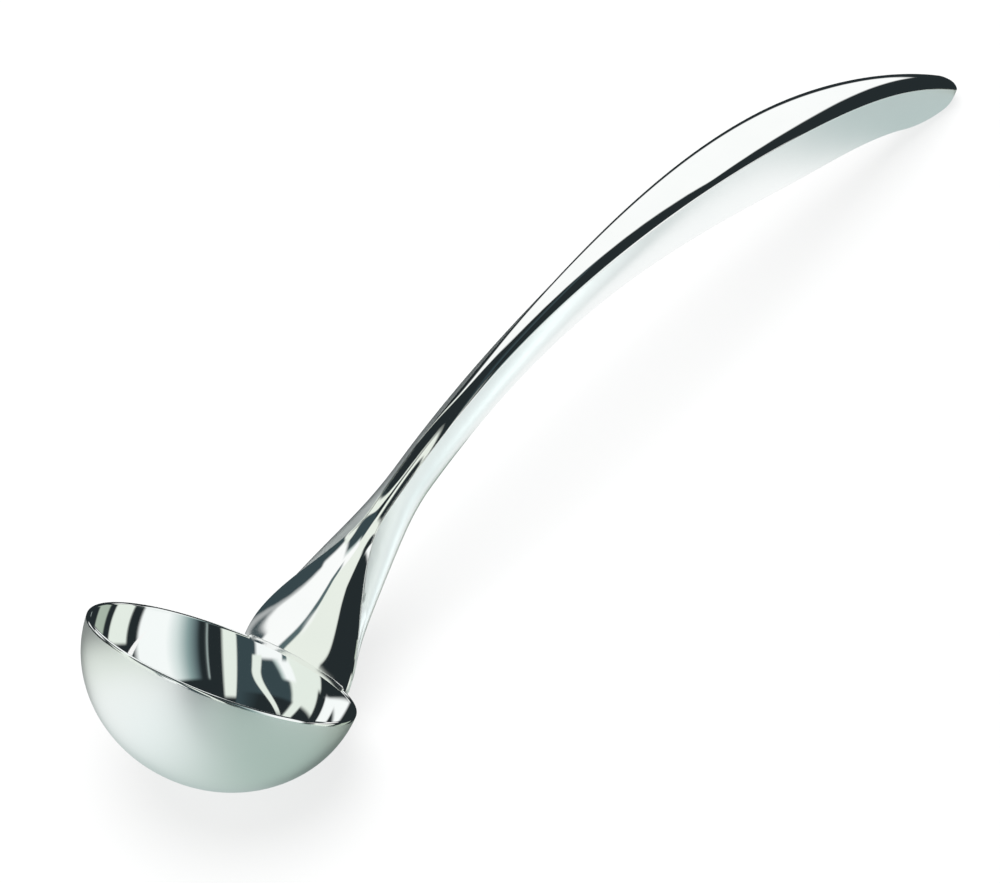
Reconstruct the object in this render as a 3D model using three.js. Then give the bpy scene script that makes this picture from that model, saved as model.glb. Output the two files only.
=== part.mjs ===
// Serving ladle in stainless steel, in millimetres, +Z up, lying on a table as it is put down.
// A deep-drawn round bowl carries a hollow handle, welded up from two pressed half shells.
// The handle stands square on the rim with a dished flare, narrows to a neck and swells to a grip.
import * as THREE from "three";
import { mergeVertices } from "three/addons/utils/BufferGeometryUtils.js";

const { smoothstep, degToRad, lerp } = THREE.MathUtils;

// Bowl
const BOWL_DIAMETER = 80;
const BOWL_DEPTH = 35.6;
const BOWL_WALL = 1.2;

// Handle, along the seam between its two shells, seen from the side with the rim level
const HANDLE_REACH = 261; // from the bowl's axis to the tip
const HANDLE_RISE = 202.2; // from the rim to the tip
const ROOT_PULL = 70.8; // how far the handle holds its upright start
const TIP_PULL = 126.2; // how far it holds its direction at the tip
const TIP_SLOPE = 1.5; // degrees between the tip and the rim plane
const FLARE_HALF_ANGLE = 29; // degrees of the rim taken up on each side of the handle
const FLARE_LENGTH = 49.3; // from the rim to where the front face has become the neck
const BODY_FLARE_LENGTH = 63.9; // the same for the body behind the front face
const NECK_AT = 85.3; // from the rim to the slimmest place
const GRIP_AT = 235.5; // from the rim to the widest place of the grip

// Handle sections
const NECK_WIDTH = 5.3; // across the front face
const NECK_BODY_WIDTH = 13.9; // across the round body, which stands out past the front face
const GRIP_WIDTH = 17.2;
const TIP_WIDTH = 10;
const NECK_DEPTH = 10.1; // from the seam to the back
const GRIP_DEPTH = 20.8;
const TIP_DEPTH = 13.6;
const NECK_CROWN = 1.6; // rise of the front face over the seam
const GRIP_CROWN = 1.8;
const TIP_NOSE = 5; // length of the round end, seen from the front
const TIP_STERN = 23.5; // length over which the back rises to the tip
const ROOT_CROWN_POWER = 4; // higher powers keep the front face flat further out
const NECK_CROWN_POWER = 2.5;
const ROOT_MARGIN_ROUND = 1; // higher values roll the margins of the front face tighter
const NECK_MARGIN_ROUND = 2;
const GRIP_MARGIN_ROUND = 1.15;
const NECK_HULL_POWER = 2.4; // 2 is an ellipse, higher powers make the back boxier
const GRIP_HULL_POWER = 3;
const FRONT_LIP_LEAN = 75; // degrees by which the sheet stands up along the seam
const BACK_LIP_LEAN = 90;

// Sheet and welds
const SHELL_SHEET = 0.8;
const WELD_GAP = 0.3;
const SEAM_BEAD = 0.5; // height of the weld between the shells
const SEAM_BEAD_DEPTH = 1;
const ROOT_BEAD = 0.5; // height of the weld between the rim and the front shell
const ROOT_BEAD_INSET = 0.2; // how far that weld stays inside both faces of the rim
const LAP_LENGTH = 5; // how far the back shell reaches down the bowl's outside
const LAP_CLEARANCE = 0.45;
const LAP_BEAD = 1.1; // leg of the fillet under the lap

// Finish and facets
const MIRROR_STEEL = { color: 0xdfe3e2, roughness: 0.08, metalness: 1 };
const SATIN_STEEL = { color: 0xcdd4d2, roughness: 0.32, metalness: 1 };
const WELD_STEEL = { color: 0xc9cfcd, roughness: 0.2, metalness: 1 };
const BOWL_SEGMENTS = 64;
const BOWL_RINGS = 6;
const BODY_ROWS = 38;
const NOSE_ROWS = 5;
const FRONT_COLUMNS = 14;
const BACK_COLUMNS = 19; // odd, so that a facet and not an edge meets the table
const LAP_ROWS = 2;
const ROW_CROWDING = 1.3; // above 1, rows stand closer together at the root
const SEAM_LINE_DIVISIONS = 400;
const OUTLINE_STEP = 1e-3;
const MERGE_DISTANCE = 1e-4;
const TURN_TOLERANCE = 1e-7;

// Derived places
const rimRadius = BOWL_DIAMETER / 2;
const innerRadius = rimRadius - BOWL_WALL;
const flareAngle = degToRad(FLARE_HALF_ANGLE);
const rootHalfWidth = rimRadius * Math.sin(flareAngle);
const rootSeamX = rimRadius * Math.cos(flareAngle);
const seamHalfGap = SEAM_BEAD / 2 + WELD_GAP;
const lapRadius = rimRadius + LAP_CLEARANCE + SHELL_SHEET;
const rootGap = ROOT_BEAD + 2 * WELD_GAP;

const up = new THREE.Vector3(0, 0, 1);
const across = new THREE.Vector3(0, 1, 0);

// The seam line leaves the rim upright and bends back to the tip.
function makeSeamLine() {
  const slope = degToRad(TIP_SLOPE);
  const root = new THREE.Vector3(rootSeamX, 0, 0);
  const tip = new THREE.Vector3(HANDLE_REACH, 0, HANDLE_RISE);
  const tipAhead = new THREE.Vector3(Math.cos(slope), 0, Math.sin(slope));
  const tipHold = tip.clone().addScaledVector(tipAhead, -TIP_PULL);
  const rootHold = root.clone().addScaledVector(up, ROOT_PULL);
  const line = new THREE.CubicBezierCurve3(root, rootHold, tipHold, tip);
  line.arcLengthDivisions = SEAM_LINE_DIVISIONS;
  return line;
}

const seamLine = makeSeamLine();
const seamLength = seamLine.getLength();

// Place, direction and front-facing normal of the seam line at a distance from the rim.
function seamFrame(distance) {
  const along = Math.min(distance / seamLength, 1);
  const point = seamLine.getPointAt(along);
  const ahead = seamLine.getTangentAt(along);
  const front = new THREE.Vector3(-ahead.z, 0, ahead.x);
  return { point, ahead, front };
}

// A quarter ellipse that falls from 1 to 0 over the last stretch of the handle.
function roundEnd(distance, stretch) {
  const past = Math.max(0, distance - (seamLength - stretch)) / stretch;
  return Math.sqrt(Math.max(0, 1 - past * past));
}

// A size that runs smoothly from root to neck, grip and tip.
function alongHandle(distance, rootEnd, [root, neck, grip, tip]) {
  const flared = lerp(root, neck, smoothstep(distance, 0, rootEnd));
  const swollen = flared + (grip - neck) * smoothstep(distance, NECK_AT, GRIP_AT);
  return swollen + (tip - grip) * smoothstep(distance, GRIP_AT, seamLength);
}

// Sizes of the handle's section at a distance from the rim.
function sectionAt(distance) {
  const sized = (...sizes) => alongHandle(distance, FLARE_LENGTH, sizes);
  const flare = smoothstep(distance, 0, FLARE_LENGTH);
  const nose = roundEnd(distance, TIP_NOSE);
  const stern = roundEnd(distance, TIP_STERN);
  const gripHalf = GRIP_WIDTH / 2;
  const tipHalf = TIP_WIDTH / 2;
  const halfWidth = nose * sized(rootHalfWidth, NECK_WIDTH / 2, gripHalf, tipHalf);
  const bodySizes = [rootHalfWidth, NECK_BODY_WIDTH / 2, gripHalf, tipHalf];
  const bodyHalfWidth = nose * alongHandle(distance, BODY_FLARE_LENGTH, bodySizes);
  const rootDish = seamHalfGap + SHELL_SHEET + innerRadius - rootSeamX;
  return {
    flare,
    nose,
    halfWidth,
    bulge: Math.max(0, bodyHalfWidth - halfWidth),
    depth: stern * sized(lapRadius - rootSeamX, NECK_DEPTH, GRIP_DEPTH, TIP_DEPTH),
    crown: nose * sized(0, NECK_CROWN, GRIP_CROWN, GRIP_CROWN),
    dish: rootDish * (1 - flare),
    frontLean: flare * degToRad(FRONT_LIP_LEAN),
    backLean: flare * degToRad(BACK_LIP_LEAN),
    crownPower: lerp(ROOT_CROWN_POWER, NECK_CROWN_POWER, flare),
    marginRound: sized(ROOT_MARGIN_ROUND, NECK_MARGIN_ROUND, GRIP_MARGIN_ROUND, GRIP_MARGIN_ROUND),
    hullPower: sized(NECK_HULL_POWER, NECK_HULL_POWER, GRIP_HULL_POWER, GRIP_HULL_POWER),
  };
}

// A point of a section: sideways along Y, forward along the front normal and on along the seam line.
function placeInSection(frame, side, forward, onward) {
  return frame.point
    .clone()
    .addScaledVector(across, side)
    .addScaledVector(frame.front, forward)
    .addScaledVector(frame.ahead, onward);
}

// Outer and inner point of a wall, where the wall turns to face along the seam line at the nose.
function wallPoints(frame, section, side, forward, inwardSide, inwardForward) {
  const inward = new THREE.Vector3(inwardSide, inwardForward, 0).normalize().multiplyScalar(section.nose);
  inward.z = section.nose - 1;
  inward.setLength(SHELL_SHEET);
  return {
    outer: placeInSection(frame, side, forward, 0),
    inner: placeInSection(frame, side + inward.x, forward + inward.y, inward.z),
  };
}

// Front shell: a crown with rolled margins, less a dish that follows the rim's curve at the root.
function frontWall(distance, column) {
  const frame = seamFrame(distance);
  const section = sectionAt(distance);
  const share = Math.sin(Math.PI * (column / FRONT_COLUMNS - 0.5));
  const flat = 1 - Math.pow(Math.abs(share), section.crownPower);
  const crown = section.crown * Math.pow(flat, 1 / section.marginRound);
  const edge = seamHalfGap + SHELL_SHEET * Math.cos(section.frontLean);
  const forward = edge + crown - section.dish * (1 - share * share);
  const lean = section.frontLean * share * Math.abs(share);
  return wallPoints(frame, section, section.halfWidth * share, forward, -Math.sin(lean), -Math.cos(lean));
}

// Outline of the back: a rounded channel that bulges past its lips, or the rim's own arc at the root.
function backOutline(section, turn) {
  const cosine = Math.cos(turn);
  const sine = Math.abs(Math.sin(turn));
  const rounding = 2 / section.hullPower;
  const hullSide = Math.sign(cosine) * Math.pow(Math.abs(cosine), rounding);
  const fall = lerp(sine * sine, Math.pow(sine, rounding), section.flare);
  const edge = seamHalfGap + SHELL_SHEET * Math.cos(section.backLean);
  const halfWidth = section.halfWidth + section.bulge * 4 * fall * (1 - fall);
  return {
    side: halfWidth * lerp(cosine, hullSide, section.flare),
    drop: edge + Math.max(0, section.depth - edge) * fall,
  };
}

// Back shell: the sheet lies square to the outline, but straight behind the rim at the root.
function backWall(distance, column) {
  const frame = seamFrame(distance);
  const section = sectionAt(distance);
  const turn = Math.PI * (column / BACK_COLUMNS);
  const here = backOutline(section, turn);
  const before = backOutline(section, Math.max(0, turn - OUTLINE_STEP));
  const after = backOutline(section, Math.min(Math.PI, turn + OUTLINE_STEP));
  const run = new THREE.Vector2(after.side - before.side, after.drop - before.drop).normalize();
  const inwardSide = -section.flare * run.y;
  const inwardForward = lerp(1, -run.x, section.flare);
  return wallPoints(frame, section, here.side, -here.drop, inwardSide, inwardForward);
}

// Distances of the rows of a shell, close together in the flare and round the nose.
function rowDistances(start) {
  const body = seamLength - TIP_NOSE;
  const rows = [];
  for (let i = 0; i < BODY_ROWS; i++) {
    rows.push(start + (body - start) * Math.pow(i / BODY_ROWS, ROW_CROWDING));
  }
  for (let i = 0; i <= NOSE_ROWS; i++) {
    rows.push(body + TIP_NOSE * Math.sin((Math.PI / 2) * (i / NOSE_ROWS)));
  }
  return rows;
}

// Triangles of a grid of points, as rows of equal length.
function gridTriangles(rows) {
  const corners = [];
  for (let i = 0; i + 1 < rows.length; i++) {
    for (let j = 0; j + 1 < rows[i].length; j++) {
      const [a, b, c, d] = [rows[i][j], rows[i][j + 1], rows[i + 1][j + 1], rows[i + 1][j]];
      corners.push(a, c, b, a, d, c);
    }
  }
  return corners;
}

// One closed geometry from triangle corners, with shared points merged and flat triangles left out.
function closedGeometry(corners) {
  const soup = new THREE.BufferGeometry().setFromPoints(corners);
  const merged = mergeVertices(soup, MERGE_DISTANCE);
  const index = merged.index.array;
  const kept = [];
  for (let i = 0; i < index.length; i += 3) {
    const [a, b, c] = index.slice(i, i + 3);
    if (a !== b && b !== c && c !== a) {
      kept.push(a, b, c);
    }
  }
  merged.setIndex(kept);
  merged.computeVertexNormals();
  return merged;
}

// A sheet of even wall from rows of outer and inner points, closed along its foot and both edges.
function sheetGeometry(rows) {
  const outer = rows.map((row) => row.map((wall) => wall.outer));
  const inner = rows.map((row) => row.map((wall) => wall.inner).reverse());
  const last = outer[0].length - 1;
  const firstEdge = rows.map((row) => [row[0].inner, row[0].outer]);
  const lastEdge = rows.map((row) => [row[last].outer, row[last].inner]);
  const foot = [inner[0].slice().reverse(), outer[0]];
  return closedGeometry([outer, inner, firstEdge, lastEdge, foot].flatMap(gridTriangles));
}

// A bead from rings of points along its run, closed at both ends.
function beadGeometry(rings) {
  const around = rings.map((ring) => [...ring, ring[0]]);
  const start = rings[0];
  const end = rings[rings.length - 1];
  const corners = gridTriangles(around);
  for (let j = 1; j + 1 < start.length; j++) {
    corners.push(start[0], start[j], start[j + 1], end[0], end[j + 1], end[j]);
  }
  return closedGeometry(corners);
}

// Radius of the bowl's outside at a height below the rim.
function bowlRadiusAt(height) {
  const wallTop = -BOWL_WALL / 2;
  const drop = Math.max(0, wallTop - height) / (BOWL_DEPTH + wallTop);
  return rimRadius * Math.sqrt(1 - drop * drop);
}

// The bowl is a half ellipsoid of even wall with a rounded bare edge.
function makeBowl() {
  const edgeRadius = BOWL_WALL / 2;
  const profile = new THREE.Path();
  profile.moveTo(0, -BOWL_DEPTH);
  profile.absellipse(0, -edgeRadius, rimRadius, BOWL_DEPTH - edgeRadius, -Math.PI / 2, 0, false);
  profile.absarc(rimRadius - edgeRadius, -edgeRadius, edgeRadius, 0, Math.PI, false);
  profile.absellipse(0, -edgeRadius, innerRadius, BOWL_DEPTH - BOWL_WALL - edgeRadius, 0, -Math.PI / 2, true);
  const halfSegment = Math.PI / BOWL_SEGMENTS; // so that a facet and not an edge meets the table
  const bowl = new THREE.LatheGeometry(profile.getPoints(BOWL_RINGS), BOWL_SEGMENTS, halfSegment);
  return bowl.rotateX(Math.PI / 2);
}

function makeFrontShell() {
  const rows = rowDistances(rootGap).map((distance) => {
    return Array.from({ length: FRONT_COLUMNS + 1 }, (_, column) => frontWall(distance, column));
  });
  return sheetGeometry(rows);
}

// The lap is the root section carried down the bowl's outside, longest in the middle.
function lapPoint(point, share, rise) {
  const height = -LAP_LENGTH * (1 - share * share) * (1 - rise);
  const inset = rimRadius - bowlRadiusAt(height);
  const radius = Math.hypot(point.x, point.y);
  const scale = (radius - inset) / radius;
  return new THREE.Vector3(point.x * scale, point.y * scale, height);
}

function makeBackShell() {
  const columns = Array.from({ length: BACK_COLUMNS + 1 }, (_, column) => column);
  const root = columns.map((column) => backWall(0, column));
  const lap = Array.from({ length: LAP_ROWS }, (_, i) => {
    return root.map((wall) => {
      const share = wall.outer.y / rootHalfWidth;
      const rise = i / LAP_ROWS;
      return { outer: lapPoint(wall.outer, share, rise), inner: lapPoint(wall.inner, share, rise) };
    });
  });
  const body = rowDistances(0).map((distance) => columns.map((column) => backWall(distance, column)));
  return sheetGeometry([...lap, ...body]);
}

// The seam weld runs up one side from the rim, round the nose and down the other side.
function makeSeamWeld() {
  const distances = rowDistances(rootGap);
  const edge = (distance, side) => {
    const frame = seamFrame(distance);
    const point = placeInSection(frame, side * sectionAt(distance).halfWidth, 0, 0);
    return { point, front: frame.front };
  };
  const upSide = distances.map((distance) => edge(distance, -1));
  const downSide = distances.slice(0, -1).reverse().map((distance) => edge(distance, 1));
  const run = [...upSide, ...downSide];
  const half = SEAM_BEAD / 2;
  const outline = [
    [0, -half],
    [0, half],
    [-SEAM_BEAD_DEPTH / 2, half],
    [-SEAM_BEAD_DEPTH, 0],
    [-SEAM_BEAD_DEPTH / 2, -half],
  ];
  const rings = run.map((place, i) => {
    const before = run[Math.max(0, i - 1)].point;
    const after = run[Math.min(run.length - 1, i + 1)].point;
    const outward = after.clone().sub(before).cross(place.front).normalize();
    return outline.map(([out, rise]) => {
      return place.point.clone().addScaledVector(outward, out).addScaledVector(place.front, rise);
    });
  });
  return beadGeometry(rings);
}

// Rings of a bead that follows the bowl's rim, from one end of the flare to the other.
function rimBeadRings(halfAngle, ringAt) {
  return Array.from({ length: FRONT_COLUMNS + 1 }, (_, i) => {
    const angle = halfAngle * ((2 * i) / FRONT_COLUMNS - 1);
    return ringAt(angle).map(([radius, height]) => {
      return new THREE.Vector3(radius * Math.cos(angle), radius * Math.sin(angle), height);
    });
  });
}

function makeFrontWeld() {
  const inside = innerRadius + ROOT_BEAD_INSET;
  const outside = rimRadius - ROOT_BEAD_INSET;
  const ring = [
    [inside, WELD_GAP],
    [outside, WELD_GAP],
    [outside, WELD_GAP + ROOT_BEAD],
    [inside, WELD_GAP + ROOT_BEAD],
  ];
  return beadGeometry(rimBeadRings(flareAngle, () => ring));
}

// The fillet lies against the bowl's outside, under the edge of the lap.
function makeBackWeld() {
  const rings = rimBeadRings(flareAngle, (angle) => {
    const share = Math.sin(angle) / Math.sin(flareAngle);
    const top = -LAP_LENGTH * (1 - share * share) - WELD_GAP;
    const low = top - LAP_BEAD;
    return [
      [bowlRadiusAt(low) + WELD_GAP, low],
      [bowlRadiusAt(top) + WELD_GAP + LAP_BEAD, top],
      [bowlRadiusAt(top) + WELD_GAP, top],
    ];
  });
  return beadGeometry(rings);
}

function namedMesh(name, geometry, finish) {
  const mesh = new THREE.Mesh(geometry, new THREE.MeshStandardMaterial(finish));
  mesh.name = name;
  return mesh;
}

// Lowest height of a mesh after a turn about Y that lowers the handle's tip.
function lowestAfterTurn(mesh, turn) {
  const place = mesh.geometry.getAttribute("position");
  let lowest = Infinity;
  for (let i = 0; i < place.count; i++) {
    lowest = Math.min(lowest, place.getZ(i) * Math.cos(turn) - place.getX(i) * Math.sin(turn));
  }
  return lowest;
}

// The turn at which the bowl's underside and the handle's back touch the table together.
function restingTurn(bowl, back) {
  let low = 0;
  let high = Math.PI / 2;
  while (high - low > TURN_TOLERANCE) {
    const turn = (low + high) / 2;
    if (lowestAfterTurn(back, turn) > lowestAfterTurn(bowl, turn)) {
      low = turn;
    } else {
      high = turn;
    }
  }
  return low;
}

const bowl = namedMesh("bowl", makeBowl(), SATIN_STEEL);
const backShell = namedMesh("handle_back_shell", makeBackShell(), SATIN_STEEL);
const ladle = new THREE.Group();
ladle.add(bowl, backShell);
ladle.add(namedMesh("handle_front_shell", makeFrontShell(), MIRROR_STEEL));
ladle.add(namedMesh("handle_seam_weld", makeSeamWeld(), WELD_STEEL));
ladle.add(namedMesh("bowl_front_weld", makeFrontWeld(), WELD_STEEL));
ladle.add(namedMesh("bowl_back_weld", makeBackWeld(), WELD_STEEL));
ladle.rotation.y = restingTurn(bowl, backShell);

// The origin is under the middle of the part, on the table.
const part = new THREE.Group();
part.add(ladle);
const box = new THREE.Box3().setFromObject(part, true);
const middle = box.getCenter(new THREE.Vector3());
ladle.position.set(-middle.x, -middle.y, -box.min.z);

export default part;
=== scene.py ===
"""Looks of a stainless steel serving ladle: a deep bowl and a hollow handle of two pressed shells."""
import math

import bpy
import numpy as np
from mathutils import Matrix, Vector


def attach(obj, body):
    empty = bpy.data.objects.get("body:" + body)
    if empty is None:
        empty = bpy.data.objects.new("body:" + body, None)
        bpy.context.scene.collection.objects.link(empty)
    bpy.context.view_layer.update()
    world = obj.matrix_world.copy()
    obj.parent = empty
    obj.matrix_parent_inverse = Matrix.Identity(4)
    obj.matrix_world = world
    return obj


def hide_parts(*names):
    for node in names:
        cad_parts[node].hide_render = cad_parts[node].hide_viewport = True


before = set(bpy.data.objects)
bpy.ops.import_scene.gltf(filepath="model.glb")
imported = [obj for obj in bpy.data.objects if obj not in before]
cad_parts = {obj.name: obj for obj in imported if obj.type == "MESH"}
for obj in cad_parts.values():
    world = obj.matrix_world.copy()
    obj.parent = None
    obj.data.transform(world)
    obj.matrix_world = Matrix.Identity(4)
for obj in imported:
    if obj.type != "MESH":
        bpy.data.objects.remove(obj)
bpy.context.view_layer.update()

# Bowl
# Deep-drawn from one round blank of stainless sheet, with a rounded bare edge.
# The inside is mirror polished and the outside carries a fine satin turned round the axis.
MM = 0.001
BOWL_RADIUS = 40 * MM
BOWL_DEPTH = 35.6 * MM
BOWL_WALL = 1.2 * MM
RIM_EDGE = BOWL_WALL / 2
RIM_ROLL = 0.9 * MM
OUTSIDE_LEAN = 2
INSIDE_LEAN = 5
BOWL_RINGS = 96
BOWL_SEGMENTS = 256
LIP_STEPS = 25
LYING_TURN = 0.764745
LYING_AT = np.array([-145.492, 0, 37.85]) * MM
SAME_POINT = 1e-7
CREASE = math.radians(40)
MAP_PER_METRE = 10
SATIN_STOPS = 0.001
MIRROR_STARTS = 0.004
TURNED_RANGE = (0.1, 0.5)
TURNED_ROUGHNESS = (0.38, 0.46)
MIRROR_ROUGHNESS = 0.035
MIRROR_RELIEF = 0.04
BOWL_RELIEF = (0.000004, 0.5)
BOWL_CLOUDS = (45.0, 3.0)
BOWL_TINTS = ((0.82, 0.865, 0.855), (0.86, 0.895, 0.885))


def lay_down(points):
    """Turns points from the bowl's frame, rim level at z = 0, about Y and shifts them onto the table."""
    c, s = math.cos(LYING_TURN), math.sin(LYING_TURN)
    x, y, z = np.moveaxis(points, -1, 0)
    return np.stack([x * c + z * s, y, z * c - x * s], -1) + LYING_AT


def skin_mesh(name, grid, uv):
    """One closed mesh from a grid (rows, columns, xyz) whose columns run round and close on the first.

    Points that fall together become one, so a row drawn to a point is a pole. The first and last rows
    must be poles or folded flat. The UV map holds one pair per grid point.
    """
    rows, columns = grid.shape[:2]
    i, j = np.meshgrid(np.arange(rows - 1), np.arange(columns - 1), indexing="ij")
    corner = i * columns + j
    quads = np.stack([corner, corner + 1, corner + columns + 1, corner + columns], -1).reshape(-1, 4)
    keys = np.round(grid.reshape(-1, 3) / SAME_POINT).astype(np.int64)
    _, first, same = np.unique(keys, axis=0, return_index=True, return_inverse=True)
    merged = same.reshape(-1)[quads]
    fresh = merged != np.roll(merged, 1, axis=1)
    size = fresh.sum(1)
    kept = (size >= 3) & (merged[:, 0] != merged[:, 2]) & (merged[:, 1] != merged[:, 3])
    fresh, size = fresh[kept], size[kept]
    corners = merged[kept][fresh]
    mesh = bpy.data.meshes.new(name)
    mesh.vertices.add(len(first))
    mesh.vertices.foreach_set("co", grid.reshape(-1, 3)[first].ravel())
    mesh.loops.add(len(corners))
    mesh.loops.foreach_set("vertex_index", corners)
    mesh.polygons.add(len(size))
    mesh.polygons.foreach_set("loop_start", np.concatenate([[0], np.cumsum(size)[:-1]]))
    mesh.update(calc_edges=True)
    layer = mesh.uv_layers.new(name="along")
    layer.data.foreach_set("uv", uv.reshape(-1, 2)[quads[kept][fresh]].ravel())
    mesh.shade_smooth()
    mesh.set_sharp_from_angle(angle=CREASE)
    mesh.validate()
    piece = bpy.data.objects.new(name, mesh)
    bpy.context.scene.collection.objects.link(piece)
    return piece


def running_length(path):
    """Length along a path up to each of its points: the sum of the steps before it."""
    return np.concatenate([[0], np.cumsum(np.linalg.norm(np.diff(path, axis=0), axis=1))])


def dome(radius, depth, lean, count):
    """Profile of a bowl from its bottom to its rim: an ellipse's arc that leans outward at the rim."""
    stop = math.pi / 2 - math.radians(lean)
    turn = np.linspace(0, stop, count)
    fall = (np.cos(turn) - math.cos(stop)) / (1 - math.cos(stop))
    return np.stack([radius * np.sin(turn) / math.sin(stop), -RIM_EDGE - (depth - RIM_EDGE) * fall], -1)


def bowl_grid():
    """Revolves the outer profile up to the rim, a half ellipse round its edge and the inner profile.

    The map holds the share of the way round and the length along the profile. The length at which the
    outer profile ends comes with it.
    """
    outer = dome(BOWL_RADIUS, BOWL_DEPTH, OUTSIDE_LEAN, BOWL_RINGS)
    outer = outer[outer[:, 1] < -RIM_ROLL]
    over = np.linspace(0, math.pi, LIP_STEPS)[1:-1]
    tall = np.where(over < math.pi / 2, RIM_ROLL, RIM_EDGE)
    lip = np.stack([BOWL_RADIUS - RIM_EDGE + RIM_EDGE * np.cos(over), tall * (np.sin(over) - 1)], -1)
    inner = dome(BOWL_RADIUS - BOWL_WALL, BOWL_DEPTH - BOWL_WALL, INSIDE_LEAN, BOWL_RINGS)
    profile = np.concatenate([outer, lip, inner[::-1]])
    angle = np.linspace(0, 2 * math.pi, BOWL_SEGMENTS + 1)
    angle[-1] = 0
    r, z = profile[:, None, 0], profile[:, None, 1]
    points = np.stack([r * np.cos(angle), r * np.sin(angle), z + 0 * angle], -1)
    run = running_length(profile) * MAP_PER_METRE
    turn = np.linspace(0, 1, BOWL_SEGMENTS + 1)
    uv = np.stack(np.broadcast_arrays(turn[None], run[:, None]), -1)
    return points, uv, run[len(outer) - 1]


def add(tree, kind, inputs=None, **settings):
    """A new shader node, with its properties set and its inputs given as values or as sockets to link."""
    made = tree.nodes.new("ShaderNode" + kind)
    for key, value in settings.items():
        setattr(made, key, value)
    for key, value in (inputs or {}).items():
        if isinstance(value, bpy.types.NodeSocket):
            tree.links.new(value, made.inputs[key])
        else:
            made.inputs[key].default_value = value
    return made


def steel(name, plain_roughness):
    """A metal material with its Principled shader, ready for the nodes of one finish.

    The plain roughness stays on the socket for programs that can't read the nodes.
    """
    material = bpy.data.materials.new(name)
    material.use_nodes = True
    shader = material.node_tree.nodes["Principled BSDF"]
    shader.inputs["Metallic"].default_value = 1
    shader.inputs["Roughness"].default_value = plain_roughness
    return material, material.node_tree, shader


def remap(tree, value, low, high, to_low, to_high):
    """A value mapped from one range to another with soft ends."""
    ranges = {"Value": value, "From Min": low, "From Max": high, "To Min": to_low, "To Max": to_high}
    return add(tree, "MapRange", ranges, interpolation_type="SMOOTHSTEP").outputs["Result"]


def clouds(tree, scale, detail):
    """Soft noise in the piece's own coordinates, as a value from 0 to 1."""
    place = add(tree, "TexCoord").outputs["Object"]
    return add(tree, "TexNoise", {"Vector": place, "Scale": scale, "Detail": detail}).outputs["Fac"]


def tinted(tree, value, first, second):
    """A colour between two tints of steel, chosen by a value from 0 to 1."""
    ramp = add(tree, "ValToRGB", {"Fac": value})
    ramp.color_ramp.elements[0].color = (*first, 1)
    ramp.color_ramp.elements[1].color = (*second, 1)
    return ramp.outputs["Color"]


def relief(tree, height, distance, strength):
    """The surface's normal, tilted by the slope of a height."""
    heights = {"Height": height, "Distance": distance, "Strength": strength}
    return add(tree, "Bump", heights).outputs["Normal"]


def give_finish(tree, shader, colour, roughness, normal):
    """Links the colour, the roughness and the normal of a finish to its shader."""
    tree.links.new(colour, shader.inputs["Base Color"])
    tree.links.new(roughness, shader.inputs["Roughness"])
    tree.links.new(normal, shader.inputs["Normal"])


points, uv, rim_run = bowl_grid()
bowl = skin_mesh("ladle_bowl", lay_down(points), uv)
material, tree, shader = steel("bowl_steel", plain_roughness=0.3)
cloud = clouds(tree, *BOWL_CLOUDS)
bowl_map = add(tree, "UVMap", uv_map="along").outputs["UV"]
up_profile = add(tree, "SeparateXYZ", {"Vector": bowl_map}).outputs["Y"]
inside = remap(tree, up_profile, rim_run - SATIN_STOPS, rim_run + MIRROR_STARTS, 0, 1)
rings = add(tree, "TexNoise", {"W": up_profile, "Scale": 900.0, "Detail": 4.0}, noise_dimensions="1D")
satin = add(tree, "Math", {0: rings.outputs["Fac"], 1: cloud}, operation="MULTIPLY").outputs[0]
satin_roughness = remap(tree, satin, *TURNED_RANGE, *TURNED_ROUGHNESS)
roughness = add(tree, "Mix", {"Factor": inside, 2: satin_roughness, 3: MIRROR_ROUGHNESS}).outputs[0]
satin_share = remap(tree, inside, 0, 1, 1, MIRROR_RELIEF)
ridges = add(tree, "Math", {0: satin, 1: satin_share}, operation="MULTIPLY").outputs[0]
colour = tinted(tree, cloud, *BOWL_TINTS)
give_finish(tree, shader, colour, roughness, relief(tree, ridges, *BOWL_RELIEF))
bowl.data.materials.append(material)
bowl.visible_glossy = False
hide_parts("bowl")
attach(bowl, "root")

# Handle front shell
# Pressed from thin sheet: a hollow flare that leans off the rim, a narrow neck and a broad crowned grip.
# It is mirror polished all over and its margins roll down to the seam.
FLARE_ANGLE = math.radians(29)
ROOT_X = BOWL_RADIUS * math.cos(FLARE_ANGLE)
ROOT_HALF_WIDTH = BOWL_RADIUS * math.sin(FLARE_ANGLE)
TIP = np.array([261, 202.2]) * MM
ROOT_PULL = 70.8 * MM
TIP_PULL = 126.2 * MM
TIP_SLOPE = math.radians(1.5)
FLARE_LENGTH = 49.3 * MM
NECK_AT = 85.3 * MM
GRIP_AT = 235.5 * MM
TIP_NOSE = 5 * MM
SHEET = 0.8 * MM
SEAM = 0.05 * MM
NECK_HALF_WIDTH = 2.65 * MM
GRIP_HALF_WIDTH = 8.6 * MM
TIP_HALF_WIDTH = 5 * MM
NECK_CROWN = 0.6 * MM
GRIP_CROWN = 1.8 * MM
FLARE_CROWN_POWER = 4
GRIP_CROWN_POWER = 2.5
MARGIN_LEAN = math.radians(75)
MARGIN_ROLL = 0.04
MARGIN_ROLL_POWER = 14
MARGIN_ROLL_GROWS = (60 * MM, 100 * MM)
HOLLOW_MIDDLE = 0.36
HOLLOW_DEEPENS = (0, 26 * MM)
HOLLOW_FADES = (60 * MM, 110 * MM)
BODY_ROWS = 300
NOSE_ROWS = 24
ROW_CROWDING = 1.25
FRONT_START = 0.2 * MM
FRONT_COLUMNS = 73
LINE_RANGE = (0.3, 0.7)
FRONT_SPREAD = (25, 900, 1)
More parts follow.
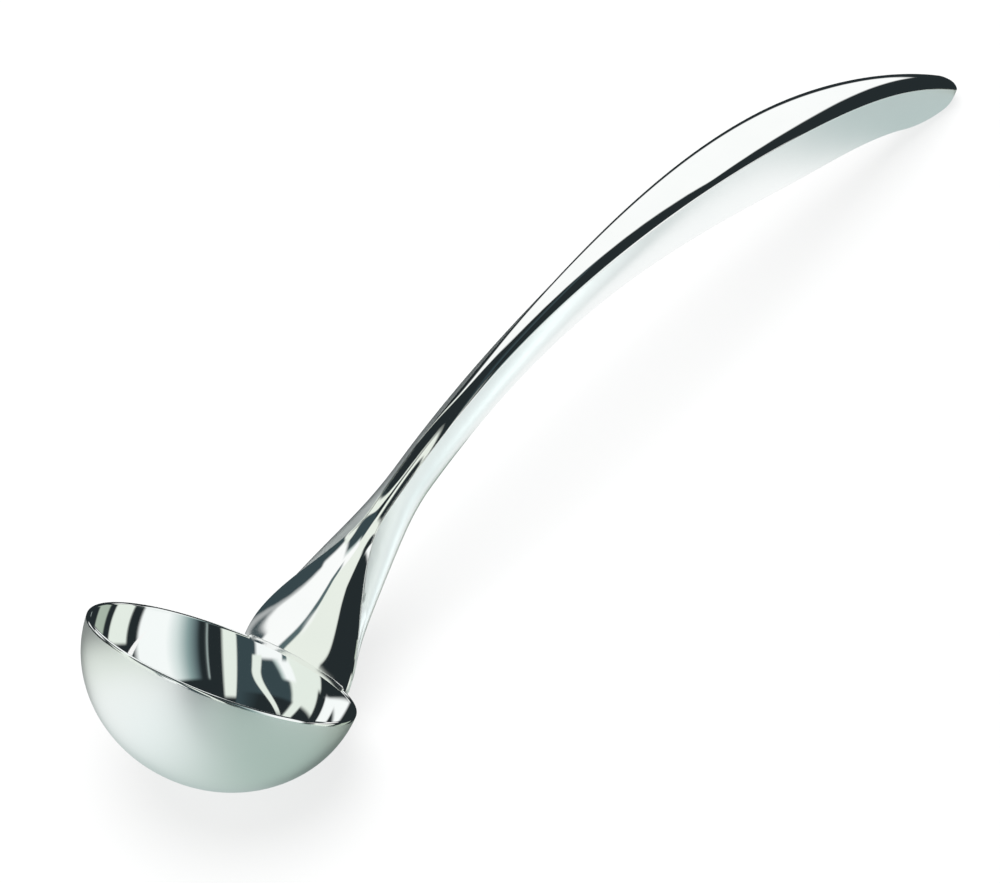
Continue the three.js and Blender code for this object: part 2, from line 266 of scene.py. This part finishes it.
FRONT_ROUGHNESS = (0.015, 0.05)
FRONT_RELIEF = (0.0001, 0.4)
FRONT_CLOUDS = (60.0, 2.0)
FRONT_TINTS = ((0.85, 0.875, 0.865), (0.9, 0.915, 0.905))


def seam_line(count=4001):
    """A cubic Bezier curve in the XZ plane, upright at the rim and bent back to the tip, with its lengths."""
    root = np.array([ROOT_X, 0])
    ahead = np.array([math.cos(TIP_SLOPE), math.sin(TIP_SLOPE)])
    hold = np.stack([root, root + [0, ROOT_PULL], TIP - TIP_PULL * ahead, TIP])
    t = np.linspace(0, 1, count)[:, None]
    weights = np.concatenate([(1 - t) ** 3, 3 * (1 - t) ** 2 * t, 3 * (1 - t) * t**2, t**3], 1)
    place = weights @ hold
    slope = np.concatenate([3 * (1 - t) ** 2, 6 * (1 - t) * t, 3 * t**2], 1) @ np.diff(hold, axis=0)
    return running_length(place), place, slope / np.hypot(*slope.T)[:, None]


RUN, PLACE, AHEAD = seam_line()
SEAM_LENGTH = RUN[-1]


def ease(x, low, high):
    """A smooth step from 0 at low to 1 at high."""
    t = np.clip((x - low) / (high - low), 0, 1)
    return t * t * (3 - 2 * t)


def round_end(along, stretch):
    """A quarter ellipse that falls from 1 to 0 over the last stretch of the handle."""
    past = np.maximum(0, along - (SEAM_LENGTH - stretch)) / stretch
    return np.sqrt(np.maximum(0, 1 - past**2))


def sized(along, root, neck, grip, tip, flare=FLARE_LENGTH):
    """A size that runs smoothly from root to neck, grip and tip."""
    size = root + (neck - root) * ease(along, 0, flare)
    size = size + (grip - neck) * ease(along, NECK_AT, GRIP_AT)
    return size + (tip - grip) * ease(along, GRIP_AT, SEAM_LENGTH)


def in_section(along, side, forward, onward=0):
    """Points at a distance along the seam line, sideways along Y, and along the line's normal and tangent."""
    x, z = (np.interp(along, RUN, PLACE[:, k]) for k in (0, 1))
    a, b = (np.interp(along, RUN, AHEAD[:, k]) for k in (0, 1))
    parts = (x - b * forward + a * onward, side + 0 * x, z + a * forward + b * onward)
    return np.stack(np.broadcast_arrays(*parts), -1)


def half_width(along):
    """Half the width of the front face: its sizes along the handle, rounded off at the nose."""
    width = sized(along, ROOT_HALF_WIDTH, NECK_HALF_WIDTH, GRIP_HALF_WIDTH, TIP_HALF_WIDTH)
    return round_end(along, TIP_NOSE) * width


def hollow(along):
    """Depth of the flare's hollow: the rim's own arc at the foot, then a share of the half width."""
    foot = (SEAM + SHEET + BOWL_RADIUS - BOWL_WALL - ROOT_X) / ROOT_HALF_WIDTH
    share = foot + (HOLLOW_MIDDLE - foot) * ease(along, *HOLLOW_DEEPENS)
    return half_width(along) * share * (1 - ease(along, *HOLLOW_FADES))


def front_outline(along, share):
    """Side, height and lean of the front face: a crown with rolled margins, less the hollow of the flare."""
    flare = ease(along, 0, FLARE_LENGTH)
    lean = flare * MARGIN_LEAN
    crown = round_end(along, TIP_NOSE) * sized(along, 0, NECK_CROWN, GRIP_CROWN, GRIP_CROWN)
    edge = SEAM + SHEET * np.cos(lean)
    rise = 1 - np.abs(share) ** (FLARE_CROWN_POWER + (GRIP_CROWN_POWER - FLARE_CROWN_POWER) * flare)
    roll = MARGIN_ROLL * half_width(along) * ease(along, *MARGIN_ROLL_GROWS)
    roll = roll * (1 - np.abs(share) ** MARGIN_ROLL_POWER)
    forward = edge + crown * rise + roll - hollow(along) * (1 - share**2)
    return half_width(along) * share, forward, lean * share * np.abs(share)


def stations(start):
    """Distances of the rows along the handle, crowded into the flare and round the nose."""
    stop = SEAM_LENGTH - TIP_NOSE
    body = start + (stop - start) * np.linspace(0, 1, BODY_ROWS, endpoint=False) ** ROW_CROWDING
    nose = stop + TIP_NOSE * np.sin(np.linspace(0, math.pi / 2, NOSE_ROWS))
    return np.concatenate([body, nose])[:, None]


def sheet_grid(outer, inner):
    """Rings of a bent sheet: out along its outer face, back along the inner one, folded shut at the foot."""
    ring = np.concatenate([outer, inner[:, ::-1], outer[:, :1]], 1)
    fold = np.concatenate([inner[:1], inner[:1, ::-1], inner[:1, :1]], 1)
    return np.concatenate([fold, ring])


def sheet_faces(along, side, forward, in_side, in_forward):
    """The outer face of a sheet and its inner face, one thickness inward across the section and the nose."""
    nose = round_end(along, TIP_NOSE)
    inward = np.stack(np.broadcast_arrays(in_side * nose, in_forward * nose, nose - 1), -1)
    inward = inward * (SHEET / np.linalg.norm(inward, axis=-1, keepdims=True))
    outer = in_section(along, side, forward)
    return outer, in_section(along, side + inward[..., 0], forward + inward[..., 1], inward[..., 2])


def sheet_uv(along, columns):
    """Length along the handle in tens of centimetres, and the share of the way round."""
    rows = np.concatenate([along[:1], along])
    around = np.linspace(0, 1, 2 * columns + 1)
    return np.stack(np.broadcast_arrays(rows * MAP_PER_METRE, around[None]), -1)


def hairlines():
    """Node group: fine lines that run along a piece, from its UV map, as a value from 0 to 1."""
    group = bpy.data.node_groups.new("hairlines", "ShaderNodeTree")
    group.interface.new_socket("Map", in_out="INPUT", socket_type="NodeSocketVector")
    group.interface.new_socket("Spread", in_out="INPUT", socket_type="NodeSocketVector")
    group.interface.new_socket("Lines", in_out="OUTPUT", socket_type="NodeSocketFloat")
    start = group.nodes.new("NodeGroupInput")
    factors = {0: start.outputs["Map"], 1: start.outputs["Spread"]}
    spread = add(group, "VectorMath", factors, operation="MULTIPLY").outputs[0]
    lines = add(group, "TexNoise", {"Vector": spread, "Scale": 1.0, "Detail": 4.0, "Roughness": 0.6})
    end = group.nodes.new("NodeGroupOutput")
    group.links.new(lines.outputs["Fac"], end.inputs["Lines"])
    return group


HAIRLINES = hairlines()


def brushed(tree, spread):
    """The hairlines of one material, as close along and round the piece as the spread says."""
    piece_map = add(tree, "UVMap", uv_map="along").outputs["UV"]
    return add(tree, "Group", {"Map": piece_map, "Spread": spread}, node_tree=HAIRLINES).outputs["Lines"]


along = stations(FRONT_START)
share = np.sin(np.linspace(-math.pi / 2, math.pi / 2, FRONT_COLUMNS))[None]
side, forward, lean = front_outline(along, share)
grid = sheet_grid(*sheet_faces(along, side, forward, -np.sin(lean), -np.cos(lean)))
uv = sheet_uv(along, FRONT_COLUMNS)
front_shell = skin_mesh("handle_front", lay_down(grid[:, ::-1]), uv[:, ::-1])
material, tree, shader = steel("mirror_steel", plain_roughness=0.03)
cloud = clouds(tree, *FRONT_CLOUDS)
colour = tinted(tree, cloud, *FRONT_TINTS)
roughness = remap(tree, brushed(tree, FRONT_SPREAD), *LINE_RANGE, *FRONT_ROUGHNESS)
give_finish(tree, shader, colour, roughness, relief(tree, cloud, *FRONT_RELIEF))
front_shell.data.materials.append(material)
front_shell.visible_glossy = False
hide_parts("handle_front_shell")
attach(front_shell, "root")

# Handle back shell
# Pressed from the same sheet as a deep channel, which bulges past the narrow neck and lies against the
# bowl's outside at the root. It is brushed to a satin along its length.
BODY_FLARE_LENGTH = 63.9 * MM
TIP_STERN = 23.5 * MM
NECK_BODY_HALF_WIDTH = 6.95 * MM
NECK_DEPTH = 10.1 * MM
GRIP_DEPTH = 20.8 * MM
TIP_DEPTH = 13.6 * MM
NECK_HULL_POWER = 2.4
GRIP_HULL_POWER = 3
LAP_LENGTH = 5 * MM
LAP_CLEARANCE = 0.05 * MM
LAP_ROWS = 9
BACK_START = 0.6 * MM
BACK_COLUMNS = 97
SMALL_TURN = 1e-3
NO_LENGTH = 1e-12
OUTSIDE = dome(BOWL_RADIUS, BOWL_DEPTH, OUTSIDE_LEAN, count=400)
BACK_SPREAD = (30, 900, 1)
BACK_ROUGHNESS = (0.34, 0.42)
BACK_RELIEF = (0.000006, 0.5)
BACK_CLOUDS = (50.0, 3.0)
BACK_TINTS = ((0.84, 0.9, 0.895), (0.88, 0.93, 0.925))


def back_outline(along, turn):
    """Side and drop of the back: a rounded channel with a bulge, turning into the rim's arc at the root."""
    flare = ease(along, 0, FLARE_LENGTH)
    face = half_width(along)
    body = sized(
        along, ROOT_HALF_WIDTH, NECK_BODY_HALF_WIDTH, GRIP_HALF_WIDTH, TIP_HALF_WIDTH, BODY_FLARE_LENGTH
    )
    body = round_end(along, TIP_NOSE) * body
    lap = BOWL_RADIUS + LAP_CLEARANCE + SHEET - ROOT_X
    depth = round_end(along, TIP_STERN) * sized(along, lap, NECK_DEPTH, GRIP_DEPTH, TIP_DEPTH)
    rounding = 2 / sized(along, NECK_HULL_POWER, NECK_HULL_POWER, GRIP_HULL_POWER, GRIP_HULL_POWER)
    cosine, sine = np.cos(turn), np.abs(np.sin(turn))
    fall = sine**2 * (1 - flare) + sine**rounding * flare
    edge = SEAM + SHEET * np.cos(flare * math.pi / 2)
    half = face + np.maximum(0, body - face) * 4 * fall * (1 - fall)
    hull = np.sign(cosine) * np.abs(cosine) ** rounding
    return half * (cosine * (1 - flare) + hull * flare), edge + np.maximum(0, depth - edge) * fall


def outside_radius(z):
    """Radius of the bowl's outside at a height, read off its profile."""
    return np.interp(z, OUTSIDE[:, 1], OUTSIDE[:, 0])


def lap_face(down, turn, lift):
    """Points on the bowl's outside, lifted off it, between the flare's edges and a depth below the rim."""
    y = ROOT_HALF_WIDTH * np.cos(turn)
    z = -down * np.sin(turn) ** 2
    x = np.sqrt((outside_radius(z) + lift) ** 2 - y**2)
    return np.stack(np.broadcast_arrays(x, y, z), -1)


along = stations(BACK_START)
turn = np.linspace(0, math.pi, BACK_COLUMNS)[None]
side, drop = back_outline(along, turn)
before = back_outline(along, np.maximum(turn - SMALL_TURN, 0))
after = back_outline(along, np.minimum(turn + SMALL_TURN, math.pi))
course = np.stack([after[0] - before[0], after[1] - before[1]])
course = course / np.maximum(np.linalg.norm(course, axis=0), NO_LENGTH)
flare = ease(along, 0, FLARE_LENGTH)
outer, inner = sheet_faces(along, side, -drop, -flare * course[1], 1 - flare - flare * course[0])
down = np.linspace(LAP_LENGTH, 0, LAP_ROWS)[:, None]
outer = np.concatenate([lap_face(down, turn, LAP_CLEARANCE + SHEET), outer])
inner = np.concatenate([lap_face(down, turn, LAP_CLEARANCE), inner])
grid = sheet_grid(outer, inner)
uv = sheet_uv(np.concatenate([-down, along]), BACK_COLUMNS)
back_shell = skin_mesh("handle_back", lay_down(grid[:, ::-1]), uv[:, ::-1])
material, tree, shader = steel("satin_steel", plain_roughness=0.3)
lines = brushed(tree, BACK_SPREAD)
colour = tinted(tree, clouds(tree, *BACK_CLOUDS), *BACK_TINTS)
roughness = remap(tree, lines, *LINE_RANGE, *BACK_ROUGHNESS)
give_finish(tree, shader, colour, roughness, relief(tree, lines, *BACK_RELIEF))
back_shell.data.materials.append(material)
back_shell.visible_glossy = False
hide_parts("handle_back_shell")
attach(back_shell, "root")

# Welds
# Thin beads of filler that were ground and polished over: one runs up both sides of the handle and round
# its tip, one closes the groove between the rim and the flare, and one lies under the edge of the lap.
BEAD_TAPER = 40
SEAM_BEAD_START = 0.9 * MM
SEAM_BEAD_INSET = 0.26 * MM
SEAM_BEAD_HALVES = (0.22 * MM, 0.25 * MM)
RIM_BEAD_ANGLE = math.radians(28)
RIM_BEAD_RADIUS = 39.06 * MM
RIM_BEAD_HEIGHT = 0.05 * MM
RIM_BEAD_HALVES = (0.28 * MM, 0.85 * MM)
RIM_BEAD_FLAT = 0.3
LAP_BEAD_ANGLE = math.radians(28.6)
LAP_BEAD_LIFT = 0.2 * MM
LAP_BEAD_HALVES = (0.75 * MM, 0.8 * MM)
WELD_ROUGHNESS = (0.08, 0.18)
WELD_RELIEF = (0.00002, 0.4)
WELD_CLOUDS = (220.0, 3.0)
WELD_TINTS = ((0.8, 0.83, 0.815), (0.88, 0.9, 0.885))


def bead_mesh(name, path, out, half_out, half_side, flat=1, sides=24):
    """A bead along a path: an ellipse on an outward axis and the axis across it, pointed at both ends.

    A flat of less than 1 squares the ellipse off, as where a bead is ground down.
    """
    step = np.gradient(path, axis=0)
    cross = np.cross(step, out)
    cross = cross / np.linalg.norm(cross, axis=1, keepdims=True)
    turn = np.linspace(0, 2 * math.pi, sides + 1)
    turn[-1] = 0
    taper = np.sqrt(1 - np.linspace(-1, 1, len(path)) ** BEAD_TAPER)[:, None, None]
    ahead, aside = (np.sign(wave) * np.abs(wave) ** flat for wave in (np.cos(turn), np.sin(turn)))
    ring = half_out * ahead[:, None] * out[:, None] + half_side * aside[:, None] * cross[:, None]
    run = running_length(path)[:, None] * MAP_PER_METRE
    uv = np.stack(np.broadcast_arrays(run, np.linspace(0, 1, sides + 1)), -1)
    return skin_mesh(name, lay_down(path[:, None] + taper * ring), uv)


def rim_arc(half_angle, count=160):
    """Directions away from the bowl's axis, over an arc that is centred on the handle."""
    angle = np.linspace(-half_angle, half_angle, count)
    return np.stack([np.cos(angle), np.sin(angle), 0 * angle], -1)


along = stations(SEAM_BEAD_START)[:, 0]
edges = in_section(along, half_width(along) - SEAM_BEAD_INSET * round_end(along, TIP_NOSE), 0)
edges = np.concatenate([edges, edges[-2::-1] * [1, -1, 1]])
front = in_section(along, 0, 1) - in_section(along, 0, 0)
front = np.concatenate([front, front[-2::-1]])
outward = np.cross(front, np.gradient(edges, axis=0))
outward = outward / np.linalg.norm(outward, axis=1, keepdims=True)
seam_weld = bead_mesh("seam_weld", edges, outward, *SEAM_BEAD_HALVES)
away = rim_arc(RIM_BEAD_ANGLE)
groove = away * RIM_BEAD_RADIUS + [0, 0, RIM_BEAD_HEIGHT]
front_weld = bead_mesh("rim_weld", groove, -away, *RIM_BEAD_HALVES, flat=RIM_BEAD_FLAT)
away = rim_arc(LAP_BEAD_ANGLE)
lap_edge = -LAP_LENGTH * (1 - (away[:, 1] / math.sin(FLARE_ANGLE)) ** 2)
under = away * (outside_radius(lap_edge) + LAP_BEAD_LIFT)[:, None]
under = under + np.stack([0 * lap_edge, 0 * lap_edge, lap_edge], -1)
back_weld = bead_mesh("lap_weld", under, away, *LAP_BEAD_HALVES)
material, tree, shader = steel("weld_steel", plain_roughness=0.12)
cloud = clouds(tree, *WELD_CLOUDS)
colour = tinted(tree, cloud, *WELD_TINTS)
roughness = remap(tree, cloud, *LINE_RANGE, *WELD_ROUGHNESS)
give_finish(tree, shader, colour, roughness, relief(tree, cloud, *WELD_RELIEF))
welds = (
    (seam_weld, "handle_seam_weld"),
    (front_weld, "bowl_front_weld"),
    (back_weld, "bowl_back_weld"),
)
for piece, node in welds:
    piece.data.materials.append(material)
    piece.visible_glossy = False
    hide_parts(node)
    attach(piece, "root")

# Table
# A plain matte white top under the ladle, which takes its soft shadow.
# It is no part of the ladle, and the polished steel doesn't mirror it.
TABLE_SIZE = 6
TABLE_LEVEL = -0.0005
TABLE_GLOW = 0.75

bpy.ops.mesh.primitive_plane_add(size=TABLE_SIZE, location=(0, 0, TABLE_LEVEL))
table = bpy.context.object
table.name = "table"
table.visible_glossy = False
material = bpy.data.materials.new("white_table")
material.use_nodes = True
tree = material.node_tree
tree.nodes.clear()
path = add(tree, "LightPath")
matte = add(tree, "BsdfDiffuse", {"Color": (0.85, 0.85, 0.85, 1)})
glow = add(tree, "Emission", {"Strength": path.outputs["Is Camera Ray"]})
half_glow = add(tree, "MixShader", {0: TABLE_GLOW, 1: matte.outputs[0], 2: glow.outputs[0]})
add(tree, "OutputMaterial", {"Surface": half_glow.outputs[0]})
table.data.materials.append(material)

# Camera
# A long lens that looks down on the ladle from the bowl's end and one side.
# Its three directions at rest also place the studio's cards and lamps, which are fixed in the room.
CAMERA_AT = (-0.77257, -0.8168, 1.13516)
CAMERA_RIGHT = Vector((0.64687, -0.75298, -0.12076))
CAMERA_UP = Vector((0.59664, 0.40109, 0.69509))
CAMERA_BACK = CAMERA_RIGHT.cross(CAMERA_UP)

camera = bpy.data.cameras.new("camera")
camera.sensor_width = 36
camera.lens = 194.87
camera.clip_end = 20
camera_object = bpy.data.objects.new("camera", camera)
camera_turn = Matrix((CAMERA_RIGHT, CAMERA_UP, CAMERA_BACK)).transposed().to_4x4()
camera_object.matrix_world = Matrix.Translation(CAMERA_AT) @ camera_turn
bpy.context.scene.collection.objects.link(camera_object)
bpy.context.scene.camera = camera_object
bpy.context.scene.view_settings.view_transform = "Standard"

# Studio cards
# The room that the polished steel mirrors: upright white cards with dark gaps, under one overhead panel.
# A card stands at a turn, in degrees from the camera's side of the room with the right as plus, and its
# row starts over a range of heights, in degrees.
DARK = (0.02, 0.027, 0.03)
SLATE = (0.045, 0.07, 0.08)
HAZE = (0.1, 0.15, 0.16)
SHADE = (0.1, 0.14, 0.15)
DUSK = (0.28, 0.38, 0.38)
MIST = (0.45, 0.52, 0.44)
GREY = (0.5, 0.58, 0.57)
PALE = (0.75, 0.82, 0.81)
CREAM = (0.91, 0.95, 0.88)
WHITE = (1.08, 1.08, 1.08)
FLOOR_FADES = (-0.75, 0.2)
FLOOR_LEFT = (1.04, 1.07, 1.07)
FLOOR_RIGHT = (0.46, 0.57, 0.52)
FLOOR_ENDS = (-38, -26)
LEFT_LOW = ((-180, GREY), (-158, GREY), (-144, WHITE), (-25, WHITE), (-22.5, SLATE), (-9, SLATE))
LEFT_MIDDLE_FROM = (-13, -10)
LEFT_MIDDLE = (
    (-180, DARK), (-150, DARK), (-142, CREAM), (-49, CREAM), (-48, HAZE),
    (-45, HAZE), (-44, WHITE), (-22, WHITE), (-20, SLATE), (-9, SLATE),
)
LEFT_HIGH_FROM = (6, 11)
LEFT_HIGH = (
    (-180, DARK), (-83, DARK), (-81, CREAM), (-52, CREAM), (-50, WHITE),
    (-42, WHITE), (-38, GREY), (-35, SLATE), (-9, SLATE),
)
LEFT_UPPER_FROM = (22, 26)
LEFT_UPPER = (
    (-180, DARK), (-112, DARK), (-109, WHITE), (-92, WHITE), (-90, DARK),
    (-79, DARK), (-77, CREAM), (-46, CREAM), (-42, SLATE), (-9, SLATE),
)
LEFT_TOP_FROM = (37, 41)
LEFT_TOP = ((-180, DARK), (-81, DARK), (-79, CREAM), (-70, CREAM), (-67, DARK), (-30, DARK), (-9, SLATE))
LEAN_FROM = 10
LEAN = 0.8
FLAG = (-34, -32, -26.5, -22.5)
FLAG_SLOPE = 240
FLAG_SHIFT = -102
FLAG_TOP = (-15, -13)
LOW_WING_TURN = -100
LOW_WING_SLOPE = 0.2
WING_TURN = -92
WING_SLOPE = 0.35
WING_FROM = (27, 30)
WING_END = (-148, -140)
RIBBON = (-27, -25, -19, -17)
RIBBON_HEIGHT = (4, 7, 48, 56)
RIBBON_BENDS_FROM = 18
RIBBON_BEND = 0.0001
FRONT = (
    (-4, CREAM), (6, CREAM), (8, DARK), (18.8, DARK), (20, GREY), (21.2, DARK),
    (26, DARK), (29, SHADE), (36, DUSK), (46, PALE), (56, WHITE), (82, WHITE),
)
RIGHT_LOW = (
    (85, DARK), (95, DARK), (97, CREAM), (119, CREAM), (121, DARK), (129, DARK),
    (131, MIST), (148, MIST), (151, DARK), (172, DARK), (179, GREY),
)
RIGHT_HIGH_FROM = (-4, -1)
RIGHT_HIGH = ((88, DARK), (180, DARK))
FRONT_HIGH_FROM = (26, 30)
FRONT_HIGH = ((-4, CREAM), (6, CREAM), (8, DARK), (180, DARK))
RIGHT_TOP_FROM = (42, 47)
RIGHT_SIDE_FROM = (-6, -4)
PANEL_SIDES = (-0.64, -0.58, 0.42, 0.47)
PANEL_NEAR = (0.17, 0.22)
PANEL_FAR = (-1.35, -1.15)
PANEL_LOWEST = 0.02

world = bpy.data.worlds.new("studio")
bpy.context.scene.world = world
world.use_nodes = True
tree = world.node_tree
ray = add(tree, "TexCoord").outputs["Generated"]


def toward(axis):
    """How far the ray's direction points along an axis."""
    return add(tree, "VectorMath", {0: ray, 1: axis}, operation="DOT_PRODUCT").outputs["Value"]


def figure(operation, *values):
    """A Math node over values and sockets."""
    return add(tree, "Math", dict(enumerate(values)), operation=operation).outputs[0]


def opaque(colour):
    """A colour with its alpha of 1, or a colour socket as it is."""
    return colour if isinstance(colour, bpy.types.NodeSocket) else (*colour, 1)


def mixed(share, first, second):
    """A colour between two colours or colour sockets."""
    ends = {"Factor": share, 6: opaque(first), 7: opaque(second)}
    return add(tree, "Mix", ends, data_type="RGBA").outputs[2]


def rising(value, low, high):
    """A soft step from 0 at low to 1 at high."""
    return remap(tree, value, low, high, 0, 1)


def falling(value, low, high):
    """A soft step from 1 at low to 0 at high."""
    return remap(tree, value, low, high, 1, 0)


def band(value, rise_from, rise_to, fall_from, fall_to):
    """A soft step up times a soft step down."""
    return figure("MULTIPLY", rising(value, rise_from, rise_to), falling(value, fall_from, fall_to))


def turns(*angles):
    """Angles in degrees as shares of a whole turn, which starts at -180, opposite the camera's side."""
    return tuple((angle + 180) / 360 for angle in angles)


across, upward, backward = toward(CAMERA_RIGHT), toward(CAMERA_UP), toward(CAMERA_BACK)
turn = figure("ADD", figure("DIVIDE", figure("ARCTAN2", across, backward), 2 * math.pi), 0.5)
height = figure("MULTIPLY", figure("ARCSINE", upward), 180 / math.pi)


def above(level):
    """Degrees of height above a level, or 0 below it."""
    return figure("MAXIMUM", figure("SUBTRACT", height, level), 0)


def left_of(angle):
    """Degrees of turn to the left of an angle, or 0 on its right."""
    return figure("MAXIMUM", figure("MULTIPLY_ADD", turn, -360, angle + 180), 0)


def card_row(cards, turn=turn):
    """Colours of one row of cards round the room, blended between the given turns."""
    ramp = add(tree, "ValToRGB", {"Fac": turn})
    stops = ramp.color_ramp.elements
    while len(stops) < len(cards):
        stops.new(0.5)
    for stop, (angle, colour) in zip(stops, cards):
        stop.position = turns(angle)[0]
        stop.color = opaque(colour)
    return ramp.outputs["Color"]


# Left of the camera: rows of cards from the floor up, two of which lean with height.
floor = mixed(rising(across, *FLOOR_FADES), FLOOR_LEFT, FLOOR_RIGHT)
leaned = figure("MULTIPLY_ADD", above(LEAN_FROM), LEAN / 360, turn)
left = mixed(rising(height, *FLOOR_ENDS), floor, card_row(LEFT_LOW))
left = mixed(rising(height, *LEFT_MIDDLE_FROM), left, card_row(LEFT_MIDDLE))
# A small dark flag with a slanting top, which darkens the foot of the flare.
flag_height = figure("ADD", height, figure("MULTIPLY_ADD", turn, FLAG_SLOPE, FLAG_SHIFT))
flag = figure("MULTIPLY", band(turn, *turns(*FLAG)), falling(flag_height, *FLAG_TOP))
left = mixed(flag, left, SLATE)
# Two wings: to the far left the next rows start lower.
low_wing = figure("MULTIPLY_ADD", left_of(LOW_WING_TURN), LOW_WING_SLOPE, height)
left = mixed(rising(low_wing, *LEFT_HIGH_FROM), left, card_row(LEFT_HIGH, leaned))
wing = figure("MULTIPLY_ADD", left_of(WING_TURN), WING_SLOPE, height)
wing_card = figure("MULTIPLY", rising(wing, *WING_FROM), rising(turn, *turns(*WING_END)))
left = mixed(wing_card, left, WHITE)
left = mixed(rising(height, *LEFT_UPPER_FROM), left, card_row(LEFT_UPPER, leaned))
left = mixed(rising(height, *LEFT_TOP_FROM), left, card_row(LEFT_TOP))
# A narrow light ribbon that bends over with the square of its height, for the bands inside the bowl.
lift = above(RIBBON_BENDS_FROM)
bent = figure("MULTIPLY_ADD", figure("MULTIPLY", lift, lift), RIBBON_BEND, turn)
ribbon = figure("MULTIPLY", band(bent, *turns(*RIBBON)), band(height, *RIBBON_HEIGHT))
left = mixed(ribbon, left, CREAM)
# In front and to the right: fewer cards, and none high up.
right = mixed(rising(height, *FLOOR_ENDS), floor, card_row(FRONT + RIGHT_LOW))
right = mixed(rising(height, *RIGHT_HIGH_FROM), right, card_row(FRONT + RIGHT_HIGH))
right = mixed(rising(height, *FRONT_HIGH_FROM), right, card_row(FRONT_HIGH))
right = mixed(rising(height, *RIGHT_TOP_FROM), right, DARK)
around = mixed(rising(turn, *turns(*RIGHT_SIDE_FROM)), left, right)
# The overhead panel: sides, near edge and a slanting far edge, in metres on a ceiling one metre up.
high = figure("MAXIMUM", upward, PANEL_LOWEST)
over_back = figure("DIVIDE", backward, high)
over_side = figure("DIVIDE", across, high)
panel = figure("MULTIPLY", band(over_side, *PANEL_SIDES), falling(over_back, *PANEL_NEAR))
panel = figure("MULTIPLY", panel, rising(figure("ADD", over_back, over_side), *PANEL_FAR))
light = mixed(panel, around, WHITE)
camera_ray = add(tree, "LightPath").outputs["Is Camera Ray"]
tree.links.new(mixed(camera_ray, light, (1, 1, 1)), tree.nodes["Background"].inputs["Color"])

# Reflector
# A white sheet that lies on the table beside the grip and brightens its satin side.
# It is no part of the ladle, and only mirror rays see it.
REFLECTOR_AT = (0.0815, -0.14, -0.0003)
REFLECTOR_SIZE = (0.203, 0.32, 1)
REFLECTOR_FADES = (0.64, 0.88)
REFLECTOR_TINTS = ((1.1, 1.06, 1.06), (0.54, 0.61, 0.6))

bpy.ops.mesh.primitive_plane_add(size=1, location=REFLECTOR_AT)
reflector = bpy.context.object
reflector.name = "reflector"
reflector.scale = REFLECTOR_SIZE
reflector.visible_camera = False
reflector.visible_diffuse = False
reflector.visible_shadow = False
material = bpy.data.materials.new("white_reflector")
material.use_nodes = True
tree = material.node_tree
tree.nodes.clear()
along_sheet = add(tree, "SeparateXYZ", {"Vector": add(tree, "TexCoord").outputs["Generated"]})
fade = remap(tree, along_sheet.outputs["X"], *REFLECTOR_FADES, 0, 1)
glow = add(tree, "Emission", {"Color": tinted(tree, fade, *REFLECTOR_TINTS)})
add(tree, "OutputMaterial", {"Surface": glow.outputs[0]})
reflector.data.materials.append(material)

# Lamps
# A broad disk overhead lights the table and the ladle, and stays out of the mirror images.
# A soft fill from the camera's side lights only the satin back of the handle.
FILL_TOWARD = CAMERA_RIGHT * 0.36 + CAMERA_UP * 0.36 + CAMERA_BACK * 0.86
FILL_DISTANCE = 0.9

satin_side = bpy.data.collections.new("satin_side")
satin_side.objects.link(back_shell)
fill = bpy.data.lights.new("side_fill", "AREA")
fill.size = 0.9
fill.energy = 2.1
fill_lamp = bpy.data.objects.new("side_fill", fill)
toward_fill = FILL_TOWARD.normalized()
fill_turn = toward_fill.to_track_quat("Z", "Y").to_matrix().to_4x4()
fill_lamp.matrix_world = Matrix.Translation(toward_fill * FILL_DISTANCE) @ fill_turn
fill_lamp.light_linking.receiver_collection = satin_side
bpy.context.scene.collection.objects.link(fill_lamp)

key = bpy.data.lights.new("overhead", "AREA")
key.shape = "DISK"
key.size = 1.6
key.energy = 40
key_lamp = bpy.data.objects.new("overhead", key)
key_lamp.location = (0.0, 0.1, 1.9)
key_lamp.visible_glossy = False
bpy.context.scene.collection.objects.link(key_lamp)
